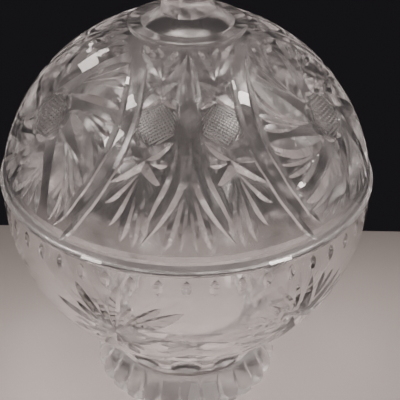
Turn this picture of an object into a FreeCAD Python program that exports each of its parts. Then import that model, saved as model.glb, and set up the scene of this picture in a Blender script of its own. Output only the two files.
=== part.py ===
import FreeCAD, Part
import os
import Sketcher

# Footed cut-crystal powder jar. Millimetres, +Z up, origin on the table under the centre of the foot.
# Four glass pieces: foot and bowl fused into the jar, dome and finial fused into the lift-off lid.

doc = FreeCAD.newDocument("PowderJar")
dims = doc.addObject("Spreadsheet::Sheet", "Dims")

DRIVING = {
    # foot: a flared disc with a sawtooth edge and a shallow hollow underneath
    "foot_edge_rad": 32.6,
    "foot_rest_rad": 30.4,
    "foot_recess_rad": 22.0,
    "foot_recess_deep": 1.2,
    "foot_edge_low": 1.8,
    "foot_edge_top": 4.2,
    "foot_flare_rad": 30.0,
    "foot_height": 12.0,
    "foot_teeth": 27,
    "tooth_half_wide": 2.7,
    "tooth_deep": 1.8,
    # bowl: a near-sphere that sweeps in to the foot
    "neck_rad": 26.5,
    "taper_rad": 37.0,
    "taper_top": 28.8,
    "taper_curve": 36.0,
    "bowl_rad": 60.0,
    "rim_rad": 59.4,
    "rim_height": 82.0,
    "rim_bevel": 0.6,
    "mouth_rad": 54.0,
    "mouth_deep": 5.0,
    "bowl_in_rad": 54.0,
    "bowl_in_low_rad": 27.0,
    "bowl_in_low": 29.2,
    "bowl_floor_curve": 48.0,
    "bowl_floor": 20.0,
    "bowl_floor_flat": 9.0,
    # lid: a spherical dome with a locating flange below and a flat collar on top
    "lid_rad": 60.6,
    "lid_edge_rad": 59.9,
    "lid_edge_rise": 0.6,
    "flange_out_rad": 53.3,
    "flange_in_rad": 51.2,
    "flange_deep": 3.5,
    "lid_in_rad": 53.6,
    "lid_in_low_rad": 52.5,
    "lid_in_low": 84.5,
    "lid_in_top": 127.1,
    "lid_in_flat": 5.0,
    "collar_rad": 18.1,
    "collar_low": 131.3,
    "collar_top": 132.8,
    "collar_bevel": 0.5,
    # finial: a low round cone, then a faceted skirt, waist and knob, four wide and four narrow sides in plan
    "finial_foot_rad": 14.1,
    "finial_foot_top_rad": 8.6,
    "finial_foot_high": 3.2,
    "knob_skirt_rad": 8.6,
    "knob_waist_rad": 7.0,
    "knob_waist_rise": 8.0,
    "knob_wide_rad": 14.0,
    "knob_wide_rise": 24.5,
    "knob_table_rad": 7.0,
    "knob_high": 32.0,
}
for row, (alias, value) in enumerate(DRIVING.items(), start=1):
    dims.set("A%d" % row, alias)
    dims.set("B%d" % row, str(value))
    dims.setAlias("B%d" % row, alias)
doc.recompute()


def origin_plane(body, role):
    """Return one of the body's own origin planes."""
    return [feature for feature in body.Origin.OriginFeatures if feature.Role == role][0]


def dim(expression):
    """Value of a sum of aliases and numbers, used to draw sketch geometry where its constraints put it."""
    total = 0.0
    for term in expression.replace("-", "+-").split("+"):
        sign = -1.0 if term.startswith("-") else 1.0
        name = term.lstrip("-")
        total += sign * (DRIVING[name] if name in DRIVING else float(name))
    return total


def sheet_expression(expression):
    """The same sum for the expression engine, with the sheet's name before each alias."""
    words = expression.replace("-", " - ").replace("+", " + ").split()
    return " ".join("Dims." + word if word in DRIVING else word for word in words)


def arc_centre(start, end, radius, side):
    """Centre of the arc of the given radius through two points, on the left (1) or right (-1) of the chord."""
    chord = end.sub(start)
    middle = (start + end).multiply(0.5)
    reach = (radius ** 2 - (chord.Length / 2) ** 2) ** 0.5
    normal = FreeCAD.Vector(-chord.y, chord.x, 0).normalize()
    return middle + normal.multiply(reach * side)


def half_section(body, name, corners, arcs):
    """Closed half section on XZ. corners: (radius, height) sums; arcs: {edge index: (radius alias, side)}."""
    sketch = body.newObject("Sketcher::SketchObject", name)
    sketch.AttachmentSupport = [(origin_plane(body, "XZ_Plane"), "")]
    sketch.MapMode = "FlatFace"
    points = [FreeCAD.Vector(dim(x), dim(z), 0) for x, z in corners]
    ends = []
    for index, start in enumerate(points):
        end = points[(index + 1) % len(points)]
        if index in arcs:
            alias, side = arcs[index]
            centre = arc_centre(start, end, DRIVING[alias], side)
            circle = Part.Circle(centre, FreeCAD.Vector(0, 0, 1), DRIVING[alias])
            if side > 0:
                arc = Part.ArcOfCircle(circle, circle.parameter(start), circle.parameter(end))
                ends.append((sketch.addGeometry(arc), 1, 2))
            else:
                arc = Part.ArcOfCircle(circle, circle.parameter(end), circle.parameter(start))
                ends.append((sketch.addGeometry(arc), 2, 1))
        else:
            ends.append((sketch.addGeometry(Part.LineSegment(start, end)), 1, 2))
    for index, (edge, first, last) in enumerate(ends):
        after, after_first, _ = ends[(index + 1) % len(ends)]
        sketch.addConstraint(Sketcher.Constraint("Coincident", edge, last, after, after_first))
    for index, (edge, first, last) in enumerate(ends):
        x, z = corners[index]
        if dim(x) == 0:
            sketch.addConstraint(Sketcher.Constraint("PointOnObject", edge, first, -2))
        else:
            number = sketch.addConstraint(Sketcher.Constraint("DistanceX", -1, 1, edge, first, dim(x)))
            sketch.setExpression("Constraints[%d]" % number, sheet_expression(x))
        if dim(z) == 0:
            sketch.addConstraint(Sketcher.Constraint("PointOnObject", edge, first, -1))
        else:
            number = sketch.addConstraint(Sketcher.Constraint("DistanceY", -1, 1, edge, first, dim(z)))
            sketch.setExpression("Constraints[%d]" % number, sheet_expression(z))
        if index in arcs:
            alias = arcs[index][0]
            number = sketch.addConstraint(Sketcher.Constraint("Radius", edge, DRIVING[alias]))
            sketch.setExpression("Constraints[%d]" % number, "Dims." + alias)
    return sketch


def turned_body(label, corners, arcs):
    """A PartDesign body turned about Z from one half section."""
    body = doc.addObject("PartDesign::Body", label + "_turned")
    sketch = half_section(body, label + "_section", corners, arcs)
    turned = body.newObject("PartDesign::Revolution", label + "_turn")
    turned.Profile = sketch
    turned.ReferenceAxis = (sketch, ["V_Axis"])
    turned.Angle = 360
    body.Tip = turned
    doc.recompute()
    return body


def make_foot():
    """Flared foot: turned disc, then one V notch in its edge repeated all round."""
    body = turned_body("foot", [
        ("0", "foot_recess_deep"),
        ("foot_recess_rad", "foot_recess_deep"),
        ("foot_recess_rad+1.2", "0"),
        ("foot_rest_rad", "0"),
        ("foot_edge_rad", "foot_edge_low"),
        ("foot_edge_rad", "foot_edge_top"),
        ("neck_rad", "foot_height"),
        ("0", "foot_height"),
    ], {5: ("foot_flare_rad", -1)})
    notch = body.newObject("Sketcher::SketchObject", "tooth_notch")
    notch.AttachmentSupport = [(origin_plane(body, "XY_Plane"), "")]
    notch.MapMode = "FlatFace"
    edge = DRIVING["foot_edge_rad"]
    corners = [
        FreeCAD.Vector(edge - DRIVING["tooth_deep"], 0, 0),
        FreeCAD.Vector(edge + 1, DRIVING["tooth_half_wide"] + 1, 0),
        FreeCAD.Vector(edge + 1, -DRIVING["tooth_half_wide"] - 1, 0),
    ]
    for index, corner in enumerate(corners):
        notch.addGeometry(Part.LineSegment(corner, corners[(index + 1) % 3]))
    for index in range(3):
        notch.addConstraint(Sketcher.Constraint("Coincident", index, 2, (index + 1) % 3, 1))
    notch.addConstraint(Sketcher.Constraint("PointOnObject", 0, 1, -1))
    notch.addConstraint(Sketcher.Constraint("Symmetric", 1, 1, 1, 2, -1))
    apex = notch.addConstraint(Sketcher.Constraint("DistanceX", -1, 1, 0, 1, corners[0].x))
    notch.setExpression("Constraints[%d]" % apex, "Dims.foot_edge_rad - Dims.tooth_deep")
    mouth = notch.addConstraint(Sketcher.Constraint("DistanceX", -1, 1, 1, 1, corners[1].x))
    notch.setExpression("Constraints[%d]" % mouth, "Dims.foot_edge_rad + 1")
    width = notch.addConstraint(Sketcher.Constraint("DistanceY", 1, 2, 1, 1, 2 * corners[1].y))
    notch.setExpression("Constraints[%d]" % width, "2 * (Dims.tooth_half_wide + 1)")
    cut = body.newObject("PartDesign::Pocket", "tooth_cut")
    cut.Profile = notch
    cut.Midplane = True
    cut.setExpression("Length", "Dims.foot_height * 3")
    body.Tip = cut
    doc.recompute()
    ring = body.newObject("PartDesign::PolarPattern", "teeth")
    ring.Originals = [cut]
    ring.Axis = (notch, ["N_Axis"])
    ring.Angle = 360
    ring.setExpression("Occurrences", "Dims.foot_teeth")
    body.Tip = ring
    return body


def make_bowl():
    """Bowl: near-spherical outside that sweeps in to the foot, straight-sided mouth that takes the lid's flange."""
    return turned_body("bowl", [
        ("0", "foot_height"),
        ("neck_rad", "foot_height"),
        ("taper_rad", "taper_top"),
        ("rim_rad", "rim_height-rim_bevel"),
        ("rim_rad-rim_bevel", "rim_height"),
        ("mouth_rad", "rim_height"),
        ("mouth_rad", "rim_height-mouth_deep"),
        ("bowl_in_low_rad", "bowl_in_low"),
        ("bowl_floor_flat", "bowl_floor"),
        ("0", "bowl_floor"),
    ], {1: ("taper_curve", -1), 2: ("bowl_rad", 1), 6: ("bowl_in_rad", -1), 7: ("bowl_floor_curve", -1)})


def make_lid():
    """Dome of the lid with its locating flange, flat seat and the collar round the finial."""
    return turned_body("lid", [
        ("flange_in_rad", "rim_height-flange_deep"),
        ("flange_out_rad", "rim_height-flange_deep"),
        ("flange_out_rad", "rim_height"),
        ("lid_edge_rad-lid_edge_rise", "rim_height"),
        ("lid_edge_rad", "rim_height+lid_edge_rise"),
        ("collar_rad", "collar_low"),
        ("collar_rad", "collar_top-collar_bevel"),
        ("collar_rad-collar_bevel", "collar_top"),
        ("0", "collar_top"),
        ("0", "lid_in_top"),
        ("lid_in_flat", "lid_in_top"),
        ("lid_in_low_rad", "lid_in_low"),
        ("flange_in_rad", "rim_height"),
    ], {4: ("lid_rad", 1), 10: ("lid_in_rad", -1)})


def square_loft(label, turn, spread):
    """Four-sided loft through the knob's levels; spread is the flat's distance over the corner radius."""
    levels = [
        ("knob_skirt_rad", "0"),
        ("knob_waist_rad", "Dims.knob_waist_rise"),
        ("knob_wide_rad", "Dims.knob_wide_rise"),
        ("knob_table_rad", "Dims.knob_high"),
    ]
    sections = []
    for number, (radius, rise) in enumerate(levels):
        square = doc.addObject("Part::RegularPolygon", "%s_level_%d" % (label, number))
        square.Polygon = 4
        square.setExpression("Circumradius", "Dims.%s * %.4f / cos(45 deg)" % (radius, spread))
        square.Placement = FreeCAD.Placement(
            FreeCAD.Vector(0, 0, 0), FreeCAD.Rotation(FreeCAD.Vector(0, 0, 1), turn))
        square.setExpression(
            "Placement.Base.z", "Dims.collar_top + Dims.finial_foot_high + %s" % rise)
        sections.append(square)
    loft = doc.addObject("Part::Loft", label)
    loft.Sections = sections
    loft.Solid = True
    loft.Ruled = True
    return loft


def make_finial():
    """Finial: low turned cone that lies on the collar, under a stem and knob with wide and narrow facets."""
    wide_flats = square_loft("wide_flats", -6.6, 0.848)
    narrow_flats = square_loft("narrow_flats", 38.4, 0.974)
    knob = doc.addObject("Part::MultiCommon", "knob")
    knob.Shapes = [wide_flats, narrow_flats]
    foot = turned_body("finial_foot", [
        ("0", "collar_top"),
        ("finial_foot_rad", "collar_top"),
        ("finial_foot_top_rad", "collar_top+finial_foot_high"),
        ("0", "collar_top+finial_foot_high"),
    ], {})
    finial = doc.addObject("Part::MultiFuse", "finial_solid")
    finial.Shapes = [foot, knob]
    finial.Refine = True
    return finial


pieces = {"foot": make_foot(), "bowl": make_bowl(), "lid": make_lid(), "finial": make_finial()}
doc.recompute()

for feature in doc.Objects:
    if "Invalid" in feature.State or "Error" in feature.State:
        raise RuntimeError("%s did not recompute: %s" % (feature.Name, feature.State))

os.makedirs("parts", exist_ok=True)
for node, piece in pieces.items():
    piece.Label = node
    shape = piece.Shape
    if shape.isNull() or not shape.isValid() or len(shape.Solids) != 1:
        raise RuntimeError("%s is not one valid solid" % node)
    shape.exportStep("parts/%s.step" % node)
    box = shape.optimalBoundingBox()
    print("%-8s volume %9.1f mm3  box %.2f..%.2f  %.2f..%.2f  %.2f..%.2f" % (
        node, shape.Volume, box.XMin, box.XMax, box.YMin, box.YMax, box.ZMin, box.ZMax))
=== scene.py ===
import math
import bmesh
import bpy
from mathutils import Matrix, Vector


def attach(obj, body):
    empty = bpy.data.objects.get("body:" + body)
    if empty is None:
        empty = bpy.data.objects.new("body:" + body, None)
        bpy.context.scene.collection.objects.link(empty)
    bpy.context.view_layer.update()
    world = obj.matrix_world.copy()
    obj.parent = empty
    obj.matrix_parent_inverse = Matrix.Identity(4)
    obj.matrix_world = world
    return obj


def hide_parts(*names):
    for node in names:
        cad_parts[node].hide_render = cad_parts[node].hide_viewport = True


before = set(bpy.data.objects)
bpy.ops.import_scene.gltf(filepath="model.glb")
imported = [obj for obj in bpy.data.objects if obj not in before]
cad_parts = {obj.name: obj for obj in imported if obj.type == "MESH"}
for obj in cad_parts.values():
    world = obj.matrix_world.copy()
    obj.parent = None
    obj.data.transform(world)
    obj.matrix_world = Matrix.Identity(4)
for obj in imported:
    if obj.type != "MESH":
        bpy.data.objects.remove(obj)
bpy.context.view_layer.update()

# Lengths of the glass are millimetres, and finish_glass scales its meshes to metres. Stage, lights and
# camera are in metres. Azimuth is measured from the front (-Y) towards +X, and latitude from the horizontal
# through a ball's centre. A ball is (radius, height of its centre).

MM = 0.001
RIM_Z = 82.0
LID_BALL = (60.6, 73.7)
BOWL_BALL = (60.0, 76.0)
COLLAR_R, COLLAR_Z = 18.1, 132.8
FINIAL_R = 14.1
NECK_R, NECK_Z = 26.5, 12.0
SEGMENTS = 192
SHARP_ANGLE = 20

# Every cut runs out this far above the glass, so that its ends leave no step.
RUN_OUT = 0.04


def ball_direction(az, lat):
    """Unit vector from a ball's centre at an azimuth and latitude in degrees."""
    a, b = math.radians(az), math.radians(lat)
    return Vector((math.sin(a) * math.cos(b), -math.cos(a) * math.cos(b), math.sin(b)))


def on_ball(ball, az, lat):
    """Point and outward normal on a ball."""
    n = ball_direction(az, lat)
    return n * ball[0] + Vector((0, 0, ball[1])), n


def chord_path(ball, start, end, bow=0.0, steps=9):
    """Points and normals along the great circle from start to end, bowed sideways by bow degrees."""
    a, b = ball_direction(*start), ball_direction(*end)
    angle = a.angle(b)
    side = a.cross(b).normalized()
    stations = []
    for i in range(steps + 1):
        t = i / steps
        n = (a * math.sin((1 - t) * angle) + b * math.sin(t * angle)) / math.sin(angle)
        n = (n + side * math.radians(bow) * 4 * t * (1 - t)).normalized()
        stations.append((n * ball[0] + Vector((0, 0, ball[1])), n))
    return stations


def lens_depth(t, deep):
    """Wheel cut that runs out at both ends."""
    return deep * max(0.0, 4 * t * (1 - t)) ** 0.8 - RUN_OUT


def drop_depth(t, deep):
    """Cut that starts as a fine point, is widest past its middle and ends in a blunter point."""
    return deep * 1.95 * t ** 0.9 * max(0.0, 1 - t) ** 0.62 - RUN_OUT


def channel_depth(t, deep):
    """Cut that starts shallow and is deepest past its middle."""
    return deep * min(1.0, 0.35 + 1.1 * t) * min(1.0, (1 - t) / 0.35, t / 0.04) - RUN_OUT


def flute_depth(t, deep):
    """Round flute that fades in slowly at its start and closes in an arc at its end."""
    return deep * min(1.0, t / 0.45) ** 0.7 * max(0.0, min(1.0, (1 - t) / 0.12)) ** 0.5 - RUN_OUT


def rib_depth(t, deep):
    """Border groove that fades in slowly from the collar."""
    return deep * min(1.0, (t / 0.3) ** 0.8, (1 - t) / 0.06) - RUN_OUT


def even_depth(t, deep):
    """Cut of even depth with short run-outs."""
    return deep * min(1.0, t / 0.06, (1 - t) / 0.06) - RUN_OUT


def wedge(stations, depth, deep, half_angle, lift=1.4):
    """Closed V-section cutter along stations: its edge lies depth(t) under the glass, its back lift above."""
    slope = math.tan(math.radians(half_angle))
    verts, faces = [], []
    last = len(stations) - 1
    for i, (p, n) in enumerate(stations):
        before = stations[max(0, i - 1)][0]
        after = stations[min(last, i + 1)][0]
        b = (after - before).cross(n).normalized()
        d = depth(i / last, deep)
        verts.append(p - n * d)
        verts.append(p + n * lift + b * (d + lift) * slope)
        verts.append(p + n * lift - b * (d + lift) * slope)
    for i in range(last):
        k, m = 3 * i, 3 * i + 3
        for u, v in ((0, 1), (1, 2), (2, 0)):
            faces.append((k + u, k + v, m + v, m + u))
    faces.append((0, 2, 1))
    faces.append((3 * last, 3 * last + 1, 3 * last + 2))
    return verts, faces


def flute(stations, depth, deep, radius, lift=1.4, steps=8):
    """Closed round-section cutter along stations: its lowest line lies depth(t) under the glass."""
    verts, faces = [], []
    last = len(stations) - 1
    count = steps + 1
    for i, (p, n) in enumerate(stations):
        before = stations[max(0, i - 1)][0]
        after = stations[min(last, i + 1)][0]
        b = (after - before).cross(n).normalized()
        d = depth(i / last, deep)
        half = math.acos((radius - d - lift) / radius)
        for k in range(count):
            a = half * (2 * k / steps - 1)
            verts.append(p + n * (radius * (1 - math.cos(a)) - d) + b * radius * math.sin(a))
    for i in range(last):
        for k in range(count):
            u, v = count * i + k, count * i + (k + 1) % count
            faces.append((u, v, v + count, u + count))
    faces.append(tuple(reversed(range(count))))
    faces.append(tuple(range(count * last, count * last + count)))
    return verts, faces


def profile_path(profile, az, steps):
    """Stations down a turned profile of (radius, height) points at one azimuth, evenly spaced by length."""
    lengths = [0.0]
    for (r0, z0), (r1, z1) in zip(profile, profile[1:]):
        lengths.append(lengths[-1] + math.hypot(r1 - r0, z1 - z0))
    out = ball_direction(az, 0)
    stations = []
    for i in range(steps + 1):
        want = lengths[-1] * i / steps
        k = max(j for j in range(len(profile) - 1) if lengths[j] <= want + 1e-9)
        t = (want - lengths[k]) / (lengths[k + 1] - lengths[k])
        (r0, z0), (r1, z1) = profile[k], profile[k + 1]
        tangent = Vector((r1 - r0, z1 - z0)).normalized()
        side = 1 if tangent.y < 0 else -1
        normal = out * (-tangent.y * side) + Vector((0, 0, tangent.x * side))
        stations.append((out * (r0 + (r1 - r0) * t) + Vector((0, 0, z0 + (z1 - z0) * t)), normal))
    return stations


def mesh_object(name, verts, faces):
    """Mesh object in millimetre numbers, with consistent outward normals."""
    mesh = bpy.data.meshes.new(name)
    mesh.from_pydata([tuple(v) for v in verts], [], faces)
    bm = bmesh.new()
    bm.from_mesh(mesh)
    bmesh.ops.recalc_face_normals(bm, faces=bm.faces)
    bm.to_mesh(mesh)
    bm.free()
    ob = bpy.data.objects.new(name, mesh)
    bpy.context.scene.collection.objects.link(ob)
    return ob


def merged(parts):
    """One vertex and face list from several that don't touch."""
    verts, faces = [], []
    for part_verts, part_faces in parts:
        base = len(verts)
        verts += list(part_verts)
        faces += [tuple(base + i for i in face) for face in part_faces]
    return verts, faces


def turned(part, degrees):
    """A vertex and face list turned about Z."""
    turn = Matrix.Rotation(math.radians(degrees), 3, "Z")
    return [turn @ v for v in part[0]], part[1]


def mirrored(part):
    """A vertex and face list mirrored in the front vertical plane."""
    return [Vector((-v.x, v.y, v.z)) for v in part[0]], [tuple(reversed(f)) for f in part[1]]


def solid_operation(target, others, operation):
    """Applies one boolean per object in others to target, then removes the others."""
    for other in others:
        modifier = target.modifiers.new("solid", "BOOLEAN")
        modifier.operation = operation
        modifier.solver = "MANIFOLD"
        modifier.object = other
    bpy.context.view_layer.update()
    graph = bpy.context.evaluated_depsgraph_get()
    mesh = bpy.data.meshes.new_from_object(target.evaluated_get(graph))
    target.modifiers.clear()
    target.data = mesh
    for other in others:
        bpy.data.objects.remove(other)
    return target


def cut_group(target, parts, turns):
    """Unites cutters of one sector, copies them round and takes them out of target."""
    first, *rest = [mesh_object("cutter", *part) for part in parts]
    group = solid_operation(first, rest, "UNION")
    verts = [v.co.copy() for v in group.data.vertices]
    faces = [tuple(p.vertices) for p in group.data.polygons]
    bpy.data.objects.remove(group)
    copies = [turned((verts, faces), turn) for turn in turns]
    cutter = mesh_object("cutters", *merged(copies))
    solid_operation(target, [cutter], "DIFFERENCE")


def arc_points(centre, radius, start, end, steps):
    """Points on an arc in (radius, height), angles in degrees from the horizontal."""
    points = []
    for i in range(steps + 1):
        a = math.radians(start + (end - start) * i / steps)
        points.append((centre[0] + radius * math.cos(a), centre[1] + radius * math.sin(a)))
    return points


def lathe(name, section):
    """Closed solid turned from a section that starts and ends on the axis."""
    verts, faces = [], []
    rows = []
    for r, z in section:
        if r < 1e-6:
            rows.append([len(verts)])
            verts.append(Vector((0, 0, z)))
            continue
        rows.append(list(range(len(verts), len(verts) + SEGMENTS)))
        for i in range(SEGMENTS):
            a = 2 * math.pi * (i + 0.5) / SEGMENTS
            verts.append(Vector((r * math.sin(a), -r * math.cos(a), z)))
    for low, high in zip(rows, rows[1:]):
        for i in range(SEGMENTS):
            j = (i + 1) % SEGMENTS
            if len(low) == 1:
                faces.append((low[0], high[j], high[i]))
            elif len(high) == 1:
                faces.append((low[i], low[j], high[0]))
            else:
                faces.append((low[i], low[j], high[j], high[i]))
    return mesh_object(name, verts, faces)


def drop_faces(ob, test):
    """Deletes the faces whose centres pass the test: the hidden surface where two pieces are fused."""
    bm = bmesh.new()
    bm.from_mesh(ob.data)
    bmesh.ops.delete(bm, geom=[f for f in bm.faces if test(f.calc_center_median())], context="FACES")
    bm.to_mesh(ob.data)
    bm.free()


def use_materials(ob, materials):
    """Replaces a mesh's material list."""
    ob.data.materials.clear()
    for material in materials:
        ob.data.materials.append(material)


def finish_glass(ob, body, node):
    """Scales to metres, shades smooth with sharp cut edges, casts no shadow, and stands for the CAD node."""
    ob.data.transform(Matrix.Scale(MM, 4))
    ob.name = "cut_" + node
    ob.data.name = ob.name
    for polygon in ob.data.polygons:
        polygon.use_smooth = True
    ob.data.set_sharp_from_angle(angle=math.radians(SHARP_ANGLE))
    ob.visible_shadow = False
    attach(ob, body)
    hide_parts(node)


GLASS_TINT = (0.985, 0.98, 0.985)
GLASS_IOR = 1.545
RIPPLE_SCALE = 260.0
RIPPLE_HEIGHT = 0.0002
GLOSS_SPREAD = 0.25


def crystal(name, roughness, ripple, shade_factor=1.0):
    """Lead crystal with a faint ripple in its surface and in its gloss; a factor under 1 darkens its colour
    as painted shade.
    """
    material = bpy.data.materials.new(name)
    material.use_nodes = True
    nodes, links = material.node_tree.nodes, material.node_tree.links
    shader = nodes["Principled BSDF"]
    # Painted shade: a factor under 1 scales the glass's colour down.
    shader.inputs["Base Color"].default_value = (*(channel * shade_factor for channel in GLASS_TINT), 1)
    shader.inputs["Transmission Weight"].default_value = 1.0
    shader.inputs["IOR"].default_value = GLASS_IOR
    place = nodes.new("ShaderNodeTexCoord")
    noise = nodes.new("ShaderNodeTexNoise")
    noise.inputs["Scale"].default_value = RIPPLE_SCALE
    noise.inputs["Detail"].default_value = 2.0
    links.new(place.outputs["Object"], noise.inputs["Vector"])
    gloss = nodes.new("ShaderNodeMapRange")
    gloss.inputs["To Min"].default_value = roughness * (1 - GLOSS_SPREAD)
    gloss.inputs["To Max"].default_value = roughness * (1 + GLOSS_SPREAD)
    links.new(noise.outputs["Fac"], gloss.inputs["Value"])
    links.new(gloss.outputs["Result"], shader.inputs["Roughness"])
    bump = nodes.new("ShaderNodeBump")
    bump.inputs["Strength"].default_value = ripple
    bump.inputs["Distance"].default_value = RIPPLE_HEIGHT
    links.new(noise.outputs["Fac"], bump.inputs["Height"])
    links.new(bump.outputs["Normal"], shader.inputs["Normal"])
    return material


# ---------------------------------------------------------------- medallions

# A hub is (azimuth, latitude). Reach is the angle from a hub, and bearing the direction round it, from up
# towards +azimuth.

LID_HUB = (60.0, 40.5)
HUB_REACH = 7.6
LID_TURNS = (0.6, 120.6, 240.6)
BOWL_BURST = (-21.5, -20.0)
BOWL_STAR = (38.0, -23.0)
BOWL_REACH = 20.5
TURNS = (0, 120, 240)

# (bearing, reach) of the middle of the polished ribs; each is RIB_HALF to either side of it.
RIB_LINE = ((0, 31.5), (13, 30.2), (28, 28.3), (45, 26.6),
            (72, 26.3), (99, 27.0), (120, 29.2), (144, 33.6))
RIB_HALF = 2.3
RIB_TOP_LAT = 69.5
RIB_BEARINGS = (9, 142)

# The pinwheel ends this far inside the ribs' middle and above the lid's plain band.
PINWHEEL_MARGIN = 2.6
PLAIN_BAND_LAT = 14.5
VANES = 8
VANE_START = 8
VANE_SWEEP = 48
FAN_CUTS = 4
BURST_RAYS = 18


def interpolate(table, x):
    """Straight-line lookup in (x, y) pairs, clamped at the ends."""
    if x <= table[0][0]:
        return table[0][1]
    for (x0, y0), (x1, y1) in zip(table, table[1:]):
        if x <= x1:
            return y0 + (y1 - y0) * (x - x0) / (x1 - x0)
    return table[-1][1]


def round_hub(hub, reach, bearing):
    """Azimuth and latitude at a reach and bearing round a hub."""
    lat0 = math.radians(hub[1])
    d, b = math.radians(reach), math.radians(bearing)
    lat = math.asin(math.sin(lat0) * math.cos(d) + math.cos(lat0) * math.sin(d) * math.cos(b))
    daz = math.atan2(math.sin(b) * math.sin(d) * math.cos(lat0), math.cos(d) - math.sin(lat0) * math.sin(lat))
    return hub[0] + math.degrees(daz), math.degrees(lat)


def hub_path(ball, hub, points):
    """Stations on a ball through (reach, bearing) points round a hub."""
    return [on_ball(ball, *round_hub(hub, reach, bearing)) for reach, bearing in points]


def blade_points(start_reach, end_reach, bearing, sweep, steps=9):
    """(reach, bearing) points of one swirling blade."""
    points = []
    for i in range(steps + 1):
        t = i / steps
        points.append((start_reach + (end_reach - start_reach) * t, bearing + sweep * t ** 0.75))
    return points


def lid_medallion_edge(bearing):
    """Reach of the lid's pinwheel at a bearing: inside the ribs and above the plain band."""
    bearing = abs((bearing + 180) % 360 - 180)
    reach = interpolate(RIB_LINE, bearing) - PINWHEEL_MARGIN
    while round_hub(LID_HUB, reach, bearing)[1] < PLAIN_BAND_LAT and reach > 8:
        reach -= 0.25
    return reach


def hatched_disc(ball, hub, reach):
    """Fine grooves in three directions over a round hub."""
    grooves = []
    for lean in (30, 90, 150):
        for i in range(-5, 6):
            off = i * reach / 6.3
            half = math.sqrt(max(0.1, (reach - 1.2) ** 2 - off ** 2))
            line = []
            for u in range(5):
                along = half * (u / 2 - 1)
                line.append((math.hypot(off, along) + 1e-4, math.degrees(math.atan2(off, along)) + lean))
            grooves.append(wedge(hub_path(ball, hub, line), even_depth, 0.48, 40, lift=0.15))
    return grooves


def pinwheel(target, ball, hub, edge, hub_reach, turns):
    """Hatched hub in a ring of short cuts, swirling blades and a fan of four finer cuts beside each blade."""
    blades, fans, ring = [], [[] for _ in range(FAN_CUTS)], []
    for k in range(VANES):
        bearing = 360.0 * k / VANES + VANE_START
        points = blade_points(hub_reach, edge(bearing + VANE_SWEEP), bearing, VANE_SWEEP)
        blades.append(wedge(hub_path(ball, hub, points), lens_depth, 2.2, 58))
        for f in range(FAN_CUTS):
            spread = VANE_SWEEP - 9 - 9.5 * f
            points = blade_points(hub_reach + 3.0 + 0.8 * f, edge(bearing + spread), bearing + 3, spread)
            fans[f].append(wedge(hub_path(ball, hub, points), drop_depth, 1.0 + 0.1 * f, 58))
        points = [(hub_reach - 0.4, bearing + 7.5 * u) for u in range(7)]
        ring.append(wedge(hub_path(ball, hub, points), lens_depth, 0.9, 50))
    parts = blades + [part for fan in fans for part in fan] + ring + hatched_disc(ball, hub, hub_reach)
    cut_group(target, parts, turns)


def burst(target, ball, hub, reach, turns):
    """Rays, long and short by turns, that spread from a point; shorter downwards, over the flutes."""
    parts = []
    for k in range(BURST_RAYS):
        size, deep = (1.0, 1.5) if k % 2 == 0 else (0.72, 1.1)
        bearing = 360.0 * k / BURST_RAYS + 4
        down = max(0.0, -math.cos(math.radians(bearing)))
        length = reach * size * (1 - 0.22 * down)
        ends = (round_hub(hub, 0.8, bearing), round_hub(hub, length, bearing + 3))
        parts.append(wedge(chord_path(ball, *ends, 0.4, 10), drop_depth, deep, 61))
    cut_group(target, parts, turns)


def star_medallion(target, ball, hub, reach, turns):
    """Four long mitres that cross at the hub, with pairs of short rays between their arms."""
    parts = []
    for k in range(4):
        ends = [round_hub(hub, reach, 45 * k + turn) for turn in (0, 180)]
        parts.append(wedge(chord_path(ball, *ends, 0, 12), lens_depth, 1.8, 56))
    for k in range(8):
        for lean in (-7, 7):
            bearing = 45 * k + 22.5
            ends = (round_hub(hub, reach * 0.45, bearing), round_hub(hub, reach * 0.97, bearing + lean))
            parts.append(wedge(chord_path(ball, *ends, 0, 8), drop_depth, 1.1, 56))
    cut_group(target, parts, turns)


def ribs(target, ball, hub, turns):
    """A border groove along either side of the two polished ribs round a medallion."""
    first, last = RIB_BEARINGS
    steps = 24
    parts = []
    for side in (1, -1):
        for offset in (RIB_HALF, -RIB_HALF):
            points = []
            for i in range(steps + 1):
                bearing = first + (last - first) * i / steps
                reach = interpolate(RIB_LINE, bearing) + offset
                if round_hub(hub, reach, bearing)[1] < RIB_TOP_LAT:
                    points.append((reach, side * bearing))
            parts.append(wedge(hub_path(ball, hub, points), rib_depth, 0.8, 55))
    cut_group(target, parts, turns)


# ---------------------------------------------------------------- lid

# Corners and middle of a hatched lozenge, as (azimuth, latitude) from the middle of its panel. The pitch of
# the hatching is an angle on the ball, and its leans are measured from the horizontal.

LOZENGE = ((12.0, 54.1), (4.9, 51.2), (4.9, 45.3), (13.4, 41.7), (20.2, 44.2), (20.2, 50.8))
LOZENGE_MID = (12.6, 48.0)
HATCH_PITCH = 0.80
HATCH_LEANS = (143, 53)
HATCH_LINES = 12

# The lid's section: the ceiling's flat, the cavity round the ball's centre, the flange that hangs into the
# bowl's mouth, the seat, and the bevelled lip as (radius, height over the rim). The ball begins LIP_HIGH over
# the rim. Level faces within SEAT_BAND of the rim are ground.
CEILING_R, CEILING_Z = 5.0, 127.1
LID_CAVITY_R, LID_CAVITY_LOW = 53.6, 84.5
FLANGE_INNER_R, FLANGE_OUTER_R, FLANGE_LOW = 51.2, 53.3, 78.5
SEAT_GAP = 0.12
LIP = ((59.4, SEAT_GAP), (60.4, 0.5), (60.6, 1.04))
LIP_HIGH = 1.5
SEAT_BAND = 0.2
COLLAR_ROUND = 0.5

# Faces nearer the ball's centre than this are the inside of the wall.
LID_WALL_MID = 56.4
BOWL_WALL_MID = 57.0

# Hatching is found between these depths under the ball, on faces that lean at least this much (a cosine).
HATCH_DEPTHS = (0.03, 1.2)
HATCH_LEAN = 0.69


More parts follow.
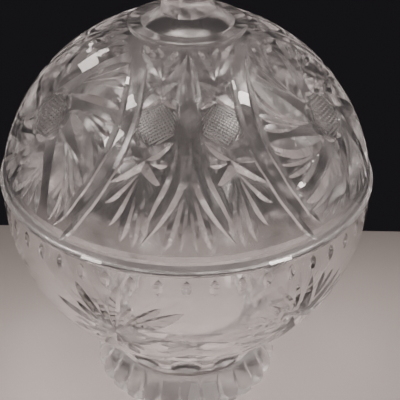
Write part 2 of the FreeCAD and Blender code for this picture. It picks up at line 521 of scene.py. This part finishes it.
def lid_panel(target, ball, turns):
    """Panel between two medallions: petals, small star, big star, fans and the centre rib that splits."""
    def cut(a, b, deep, half, shape=lens_depth, bow=0.0, steps=9):
        half_parts.append(wedge(chord_path(ball, a, b, bow, steps), shape, deep, half))

    def curve(points, deep, half, shape):
        half_parts.append(wedge([on_ball(ball, az, lat) for az, lat in points], shape, deep, half))

    half_parts = []
    for az in (8.5, 26.0, 43.0):
        cut((az, 71.4), (14.2, 60.4), 1.25, 58)
    cut((23.0, 59.8), (4.6, 52.3), 1.35, 56)
    cut((4.8, 60.6), (20.2, 51.3), 1.35, 56)
    cut((5.0, 43.6), (25.2, 30.6), 1.7, 56)
    cut((21.3, 44.0), (7.9, 31.2), 1.7, 58)
    cut((5.6, 37.3), (22.8, 37.2), 1.4, 54)
    for az, lat in ((25.0, 25.4), (22.8, 19.6), (19.0, 15.8), (15.4, 14.8), (12.2, 18.4)):
        cut((14.0 + (az - 14.0) * 0.15, 34.6), (az, lat), 1.4, 61, drop_depth)
    curve(((0.7, 70.2), (3.0, 65.5), (4.1, 59.0), (4.3, 52.0), (3.7, 45.0)), 0.6, 55, even_depth)
    curve(((3.6, 46.0), (4.9, 39.5), (7.2, 33.6), (10.3, 27.0), (13.4, 18.8)), 1.15, 58, channel_depth)
    curve(((1.9, 62.0), (2.0, 57.0), (1.9, 51.5), (1.3, 46.5), (1.1, 41.5),
           (2.0, 35.6), (3.9, 30.4), (6.6, 25.4), (9.8, 20.4), (13.4, 15.6)), 1.4, 59, channel_depth)
    cut((0.9, 32.6), (6.4, 15.0), 1.3, 60, drop_depth)
    cut((0.5, 31.6), (2.4, 14.4), 0.95, 60, drop_depth)
    parts = half_parts + [mirrored(part) for part in half_parts]
    cut_group(target, parts, turns)


def hatched_lozenge(target, ball, turns):
    """Fine crossed grooves, square to each other, in the lozenge of each column."""
    squeeze = math.cos(math.radians(LOZENGE_MID[1]))
    outline = [((az - LOZENGE_MID[0]) * squeeze, lat - LOZENGE_MID[1]) for az, lat in LOZENGE]
    for lean in HATCH_LEANS:
        along = (math.cos(math.radians(lean)), math.sin(math.radians(lean)))
        parts = []
        for i in range(-HATCH_LINES, HATCH_LINES + 1):
            origin = (-along[1] * i * HATCH_PITCH, along[0] * i * HATCH_PITCH)
            crossings = []
            for (x0, y0), (x1, y1) in zip(outline, outline[1:] + outline[:1]):
                side0 = (x0 - origin[0]) * along[1] - (y0 - origin[1]) * along[0]
                side1 = (x1 - origin[0]) * along[1] - (y1 - origin[1]) * along[0]
                if side0 * side1 < 0:
                    t = side0 / (side0 - side1)
                    x, y = x0 + (x1 - x0) * t, y0 + (y1 - y0) * t
                    crossings.append((x - origin[0]) * along[0] + (y - origin[1]) * along[1])
            if len(crossings) == 2 and abs(crossings[0] - crossings[1]) > 1.0:
                ends = []
                for reach in sorted(crossings):
                    x, y = origin[0] + along[0] * reach, origin[1] + along[1] * reach
                    ends.append((LOZENGE_MID[0] + x / squeeze, LOZENGE_MID[1] + y))
                line = wedge(chord_path(ball, *ends, 0, 5), even_depth, 0.36, 42, lift=0.1)
                parts += [line, mirrored(line)]
        copies = [turned(part, turn) for part in parts for turn in turns]
        solid_operation(target, [mesh_object("hatch", *merged(copies))], "DIFFERENCE")


def inside_lozenge(az, lat):
    """Whether a point is in the hatched lozenge."""
    for (x0, y0), (x1, y1) in zip(LOZENGE, LOZENGE[1:] + LOZENGE[:1]):
        if (x1 - x0) * (lat - y0) - (y1 - y0) * (az - x0) < 0:
            return False
    return True


def lid_hatching(az, lat):
    """Whether a point of the lid is hatched: a hub or a lozenge."""
    az = abs((az - LID_TURNS[0] + 60) % 120 - 60)
    hub = ball_direction(*LID_HUB).angle(ball_direction(az, lat))
    return math.degrees(hub) < HUB_REACH - 1.0 or inside_lozenge(az, lat)


def assign(ob, materials, ball, hatching, inner):
    """Sets each face to polished outside, hatching, inside or ground seat, in the order of materials."""
    shallow, deep = HATCH_DEPTHS
    use_materials(ob, materials)
    for polygon in ob.data.polygons:
        c = polygon.center
        d = c - Vector((0, 0, ball[1]))
        if abs(c.z - RIM_Z) < SEAT_BAND and abs(polygon.normal.z) > 0.9:
            polygon.material_index = 3
        elif d.length < inner:
            polygon.material_index = 2
        elif shallow < ball[0] - d.length < deep and polygon.normal.dot(d.normalized()) < HATCH_LEAN:
            if hatching(math.degrees(math.atan2(d.x, -d.y)), math.degrees(math.asin(d.z / d.length))):
                polygon.material_index = 1


def make_lid(materials):
    """Dome turned from its section, with ribs, pinwheels and panels cut into it."""
    r, zc = LID_BALL
    start = math.degrees(math.asin((RIM_Z + LIP_HIGH - zc) / r))
    end = math.degrees(math.acos(COLLAR_R / r))
    inner_low = math.degrees(math.asin((LID_CAVITY_LOW - zc) / LID_CAVITY_R))
    inner_high = math.degrees(math.acos(CEILING_R / LID_CAVITY_R))
    section = [(0, CEILING_Z)]
    section += list(reversed(arc_points((0, zc), LID_CAVITY_R, inner_low, inner_high, 30)))
    section += [(FLANGE_INNER_R, RIM_Z), (FLANGE_INNER_R, FLANGE_LOW), (FLANGE_OUTER_R, FLANGE_LOW)]
    section += [(FLANGE_OUTER_R, RIM_Z + SEAT_GAP)]
    section += [(radius, RIM_Z + rise) for radius, rise in LIP]
    section += arc_points((0, zc), r, start, end, 56)
    section += arc_points((COLLAR_R - COLLAR_ROUND, COLLAR_Z - COLLAR_ROUND), COLLAR_ROUND, 0, 90, 4)
    section += [(FINIAL_R, COLLAR_Z), (0, COLLAR_Z)]
    lid = lathe("lid_blank", section)
    ribs(lid, LID_BALL, LID_HUB, LID_TURNS)
    pinwheel(lid, LID_BALL, LID_HUB, lid_medallion_edge, HUB_REACH, LID_TURNS)
    lid_panel(lid, LID_BALL, LID_TURNS)
    hatched_lozenge(lid, LID_BALL, LID_TURNS)
    drop_faces(lid, lambda c: c.z > COLLAR_Z - 0.01 and math.hypot(c.x, c.y) < FINIAL_R - 0.05)
    assign(lid, materials, LID_BALL, lid_hatching, LID_WALL_MID)
    finish_glass(lid, "cover", "lid")


# (radius, height over the collar) of the finial's cone and of the corners of its eight-sided knob, whose
# facets are wide and narrow by turns.
CONE = ((FINIAL_R, 0), (FINIAL_R - 0.1, 0.2), (11.0, 1.9), (8.4, 3.2))
KNOB = ((8.5, 2.6), (7.0, 11.2), (14.0, 27.7), (7.0, 35.2))
KNOB_TURN = -6.6
NARROW_FACET_HALF = 13


def make_finial(materials):
    """Low round cone on the collar, and a stem and knob with wide and narrow facets."""
    cone_high = CONE[-1][1]
    section = [(radius, COLLAR_Z + rise) for radius, rise in ((0, 0), *CONE, (0, cone_high))]
    body = lathe("finial_foot_blank", section)
    verts, faces = [], []
    for radius, rise in KNOB:
        for k in range(4):
            for side in (-NARROW_FACET_HALF, NARROW_FACET_HALF):
                a = math.radians(90 * k + side + KNOB_TURN)
                verts.append(Vector((radius * math.sin(a), -radius * math.cos(a), COLLAR_Z + rise)))
    for level in range(3):
        for i in range(8):
            j = (i + 1) % 8
            faces.append((8 * level + i, 8 * level + j, 8 * level + 8 + j, 8 * level + 8 + i))
    faces.append(tuple(reversed(range(8))))
    faces.append(tuple(range(24, 32)))
    knob = mesh_object("finial_knob_blank", verts, faces)
    solid_operation(body, [knob], "UNION")
    drop_faces(body, lambda c: c.z < COLLAR_Z + 0.01)
    use_materials(body, materials)
    for polygon in body.data.polygons:
        polygon.material_index = 1 if polygon.center.z > COLLAR_Z + cone_high + 0.1 else 0
    finish_glass(body, "cover", "finial")


# ---------------------------------------------------------------- jar

# The bowl's section: the ball ends at BALL_LOW, and (radius, height) points taper from it to the neck. The
# floor inside is an arc of FLOOR_ARC_R round a point on the axis.
BALL_LOW = 28.8
TAPER = ((33.0, 24.6), (30.7, 21.4), (28.8, 18.2), (27.4, 15.0))
FLUTE_END = (27.0, 13.8)
RIM_OUTER_R, BOWL_CAVITY_R, MOUTH_LOW = 58.8, 54.0, 77.0
FLOOR_ARC_R, FLOOR_ARC_Z, FLOOR_Z = 42.0, 62.0, 20.0
FLOOR_LAT = -60

# Wide leaves of the bowl: start, end, bow and depth.
LEAVES = (((-20.5, -20.2), (-1.8, -22.0), 0.5, 1.6), ((-4.4, -21.4), (17.5, -25.0), -0.5, 1.6),
          ((-20.5, -18.6), (-0.5, -7.2), 0, 1.5), ((-13.0, -28.0), (1.0, -20.0), 0, 1.2),
          ((-10.0, -39.0), (4.5, -31.0), 0, 1.2), ((14.0, -39.0), (0.0, -31.0), 0, 1.2))
RIM_NOTCH_PITCH = 7.5
RIM_NOTCHES = 16


def bowl_leaves(target, ball, turns):
    """Wide leaves that run from each burst to the next medallion, and a row of notches under the rim."""
    leaves = []
    for start, end, bow, deep in LEAVES:
        leaves.append(wedge(chord_path(ball, start, end, bow, 12), lens_depth, deep, 62))
    cut_group(target, leaves, turns)
    notches = []
    for k in range(RIM_NOTCHES):
        az = RIM_NOTCH_PITCH * k
        notches.append(wedge(chord_path(ball, (az, -1.4), (az, 4.4), 0, 6), lens_depth, 0.7, 66))
    cut_group(target, notches, turns)


def make_bowl(materials):
    """Bowl turned from its section, with flutes, bursts, stars, leaves and rim notches cut into it."""
    r, zc = BOWL_BALL
    low = math.degrees(math.asin((BALL_LOW - zc) / r))
    high = math.degrees(math.asin((RIM_Z - 0.6 - zc) / r))
    section = [(0, NECK_Z), (NECK_R, NECK_Z)]
    section += list(reversed(TAPER))
    section += arc_points((0, zc), r, low, high, 60)
    section += [(RIM_OUTER_R, RIM_Z), (BOWL_CAVITY_R, RIM_Z), (BOWL_CAVITY_R, MOUTH_LOW)]
    section += arc_points((0, zc), BOWL_CAVITY_R, -2, FLOOR_LAT, 28)[1:]
    section += arc_points((0, FLOOR_ARC_Z), FLOOR_ARC_R, FLOOR_LAT, -89, 14)[:-1] + [(0, FLOOR_Z)]
    bowl = lathe("bowl_blank", section)
    profile = arc_points((0, zc), r, -41, low, 6) + list(TAPER) + [FLUTE_END]
    flutes = [flute(profile_path(profile, 30 * k, 24), flute_depth, 2.1, 10.5) for k in range(4)]
    cut_group(bowl, flutes, TURNS)
    burst(bowl, BOWL_BALL, BOWL_BURST, BOWL_REACH, TURNS)
    star_medallion(bowl, BOWL_BALL, BOWL_STAR, BOWL_REACH, TURNS)
    bowl_leaves(bowl, BOWL_BALL, TURNS)
    drop_faces(bowl, lambda c: c.z < NECK_Z + 0.01)
    assign(bowl, materials, BOWL_BALL, lambda az, lat: False, BOWL_WALL_MID)
    finish_glass(bowl, "jar", "bowl")


# (radius, height) points of the foot's slope and of the hollow under it, from the axis outwards.
FOOT_SLOPE = ((NECK_R, NECK_Z), (27.8, 9.8), (29.2, 7.85), (30.8, 6.0), (32.6, 4.2))
FOOT_UNDER = ((0, 1.2), (10.0, 1.05), (18.0, 0.7), (24.0, 0.3), (28.0, 0.05), (30.4, 0), (32.6, 1.8))
FOOT_HOLLOW_TOP = 1.3
TEETH = 27
NOTCH_APEX_R, NOTCH_OUTER_R, NOTCH_HALF = 30.8, 33.6, 3.7


def notch_prism(az, apex, outer, half_wide, low, high):
    """Upright V prism that notches the foot's edge."""
    out, side = ball_direction(az, 0), ball_direction(az + 90, 0)
    verts = []
    for z in (low, high):
        up = Vector((0, 0, z))
        verts += [out * apex + up, out * outer + side * half_wide + up, out * outer - side * half_wide + up]
    return verts, [(0, 1, 2), (5, 4, 3), (0, 3, 4, 1), (1, 4, 5, 2), (2, 5, 3, 0)]


def make_foot(materials):
    """Flared foot with a V-notched edge, shallow flutes on its slope and a shallow hollow below."""
    foot = lathe("foot_blank", FOOT_UNDER + FOOT_SLOPE[::-1] + ((0, NECK_Z),))
    azimuths = [90 + 360.0 / TEETH * k for k in range(TEETH // 3)]
    notches = [notch_prism(az, NOTCH_APEX_R, NOTCH_OUTER_R, NOTCH_HALF, -1, 8) for az in azimuths]
    cut_group(foot, notches, TURNS)
    flutes = [wedge(profile_path(FOOT_SLOPE, az, 8), drop_depth, 0.36, 75) for az in azimuths]
    cut_group(foot, flutes, TURNS)
    drop_faces(foot, lambda c: c.z > NECK_Z - 0.01)
    use_materials(foot, materials)
    for polygon in foot.data.polygons:
        under = polygon.center.z < FOOT_HOLLOW_TOP and polygon.normal.z < -0.3
        polygon.material_index = 1 if under else 0
    finish_glass(foot, "jar", "foot")


# ---------------------------------------------------------------- stage

# Metres. The table's far edge isn't square to the view: its left end lies further back than its right.
TABLE_HALF = 0.9
TABLE_FRONT = -1.2
TABLE_BACK_LEFT, TABLE_BACK_RIGHT = 0.099, 0.062
TABLE_THICK = 0.03
TABLE_TOP = -0.0002
# Painted shade: between these depths the table's paint darkens towards its far edge, where the light falls
# off.
FAR_SHADE_FROM, FAR_SHADE_TO = -0.03, 0.10


def table_paint_and_shade():
    """Pale paint, faintly mottled, with painted shade that darkens it towards the table's far edge."""
    material = bpy.data.materials.new("table_paint_and_shade")
    material.use_nodes = True
    nodes, links = material.node_tree.nodes, material.node_tree.links
    shader = nodes["Principled BSDF"]
    shader.inputs["Roughness"].default_value = 0.7
    place = nodes.new("ShaderNodeTexCoord")
    split = nodes.new("ShaderNodeSeparateXYZ")
    # Painted shade: the tone falls off towards the far edge.
    far_shade = nodes.new("ShaderNodeMapRange")
    far_shade.inputs["From Min"].default_value = FAR_SHADE_FROM
    far_shade.inputs["From Max"].default_value = FAR_SHADE_TO
    noise = nodes.new("ShaderNodeTexNoise")
    noise.inputs["Scale"].default_value = 9.0
    noise.inputs["Detail"].default_value = 4.0
    mottle_and_shade = nodes.new("ShaderNodeMath")
    mottle_and_shade.operation = "MULTIPLY_ADD"
    mottle_and_shade.inputs[1].default_value = 0.05
    ramp = nodes.new("ShaderNodeValToRGB")
    # Pale paint near the jar; the second colour is the painted shade at the far edge.
    ramp.color_ramp.elements[0].color = (0.585, 0.537, 0.518, 1)
    ramp.color_ramp.elements[1].color = (0.178, 0.163, 0.156, 1)
    links.new(place.outputs["Object"], split.inputs["Vector"])
    links.new(split.outputs["Y"], far_shade.inputs["Value"])
    links.new(noise.outputs["Fac"], mottle_and_shade.inputs[0])
    links.new(far_shade.outputs["Result"], mottle_and_shade.inputs[2])
    links.new(mottle_and_shade.outputs["Value"], ramp.inputs["Fac"])
    links.new(ramp.outputs["Color"], shader.inputs["Base Color"])
    return material


def make_table():
    """Pale table top whose far edge lies just behind the jar."""
    corners = [(-TABLE_HALF, TABLE_FRONT), (TABLE_HALF, TABLE_FRONT)]
    corners += [(TABLE_HALF, TABLE_BACK_RIGHT), (-TABLE_HALF, TABLE_BACK_LEFT)]
    verts = [(x, y, z) for z in (TABLE_TOP, TABLE_TOP - TABLE_THICK) for x, y in corners]
    faces = [(0, 1, 2, 3), (7, 6, 5, 4), (0, 4, 5, 1), (1, 5, 6, 2), (2, 6, 7, 3), (3, 7, 4, 0)]
    mesh = bpy.data.meshes.new("table")
    mesh.from_pydata(verts, [], faces)
    mesh.materials.append(table_paint_and_shade())
    table = bpy.data.objects.new("table", mesh)
    bpy.context.scene.collection.objects.link(table)


# Direction that the room is brightest in, and the span of its dot product over which it brightens.
ROOM_BRIGHT_WAY = (0, -0.78, 0.62)
ROOM_SPAN = (-0.45, 0.9)
ROOM_STOPS = (
    (0.0, (0.011, 0.010, 0.012, 1)),
    (0.35, (0.30, 0.265, 0.25, 1)),
    (0.9, (0.50, 0.44, 0.416, 1)),
)


def make_room():
    """Room that is dark behind the jar and softly bright above and in front of it."""
    world = bpy.data.worlds.new("room")
    world.use_nodes = True
    bpy.context.scene.world = world
    nodes, links = world.node_tree.nodes, world.node_tree.links
    background = nodes["Background"]
    place = nodes.new("ShaderNodeTexCoord")
    facing = nodes.new("ShaderNodeVectorMath")
    facing.operation = "DOT_PRODUCT"
    facing.inputs[1].default_value = ROOM_BRIGHT_WAY
    ramp = nodes.new("ShaderNodeValToRGB")
    stops = ramp.color_ramp.elements
    while len(stops) < len(ROOM_STOPS):
        stops.new(1.0)
    for stop, (position, color) in zip(stops, ROOM_STOPS):
        stop.position, stop.color = position, color
    shift = nodes.new("ShaderNodeMapRange")
    shift.inputs["From Min"].default_value = ROOM_SPAN[0]
    shift.inputs["From Max"].default_value = ROOM_SPAN[1]
    links.new(place.outputs["Generated"], facing.inputs[0])
    links.new(facing.outputs["Value"], shift.inputs["Value"])
    links.new(shift.outputs["Result"], ramp.inputs["Fac"])
    links.new(ramp.outputs["Color"], background.inputs["Color"])
    background.inputs["Strength"].default_value = 1.0


LAMP_AIM = (0, 0, 0.08)
LAMP_TINT = (1.0, 0.91, 0.87)


def soft_light(name, place, size, power):
    """Rectangular area light at place, facing the jar; metres and watts."""
    data = bpy.data.lights.new(name, "AREA")
    data.shape = "RECTANGLE"
    data.size, data.size_y = size
    data.energy = power
    data.color = LAMP_TINT
    ob = bpy.data.objects.new(name, data)
    ob.location = place
    ob.rotation_mode = "QUATERNION"
    ob.rotation_quaternion = (Vector(LAMP_AIM) - Vector(place)).to_track_quat("-Z", "Y")
    bpy.context.scene.collection.objects.link(ob)


def make_lights():
    """Two keys for the ribs and the lid's lip, one lamp for the left medallion's blades and a broad fill."""
    soft_light("key_right", (0.50, 0.0, 0.97), (0.13, 0.13), 2.0)
    soft_light("key_left", (-0.52, -0.05, 0.95), (0.14, 0.14), 1.2)
    soft_light("side_left", (-0.69, -0.33, 0.80), (0.12, 0.22), 1.6)
    soft_light("front_high", (0.45, -0.95, 0.7), (0.8, 0.5), 2.1)


# Metres and degrees. The camera stands in front of the rim's centre and aims a little low and right of it.
CAMERA_REACH = 0.3
CAMERA_RISE = 31.07
AIM_RIGHT, AIM_DOWN, ROLL = 0.995, 2.227, 0.815
SENSOR, LENS = 36, 81.639


def make_camera():
    """Camera at the photograph's viewing angle."""
    reach, rise = CAMERA_REACH, math.radians(CAMERA_RISE)
    yaw, pitch, roll = math.radians(AIM_RIGHT), math.radians(-CAMERA_RISE - AIM_DOWN), math.radians(ROLL)
    forward = Vector((math.sin(yaw) * math.cos(pitch), math.cos(yaw) * math.cos(pitch), math.sin(pitch)))
    right = Vector((math.cos(yaw), -math.sin(yaw), 0))
    up = right.cross(forward)
    right, up = right * math.cos(roll) + up * math.sin(roll), up * math.cos(roll) - right * math.sin(roll)
    data = bpy.data.cameras.new("camera")
    data.sensor_width = SENSOR
    data.lens = LENS
    data.clip_start = 0.01
    camera = bpy.data.objects.new("camera", data)
    place = Vector((0, -reach * math.cos(rise), RIM_Z * MM + reach * math.sin(rise)))
    axes = Matrix((right, up, -forward)).transposed().to_4x4()
    camera.matrix_world = Matrix.Translation(place) @ axes
    bpy.context.scene.collection.objects.link(camera)
    bpy.context.scene.camera = camera


clear = crystal("polished_crystal", roughness=0.03, ripple=0.02)
# The hatching's colour is darkened to 0.42: painted shade for its darker look among the polished cuts.
hatch = crystal("fine_hatching_painted_shade", roughness=0.3, ripple=0.05, shade_factor=0.42)
inside = crystal("fire_finished_inside", roughness=0.16, ripple=0.02)
jar_inside = crystal("jar_inside", roughness=0.07, ripple=0.02)
ground = crystal("ground_seat", roughness=0.15, ripple=0.05)
base = crystal("ground_base", roughness=0.16, ripple=0.0)
make_lid((clear, hatch, inside, ground))
make_finial((clear, inside))
make_bowl((clear, hatch, jar_inside, ground))
make_foot((clear, base))
make_table()
make_room()
make_lights()
make_camera()

# Light passes many surfaces of glass on its way through the jar.
cycles = bpy.context.scene.cycles
cycles.max_bounces = 24
cycles.transmission_bounces = 24
cycles.glossy_bounces = 12
cycles.caustics_refractive = True
cycles.caustics_reflective = True
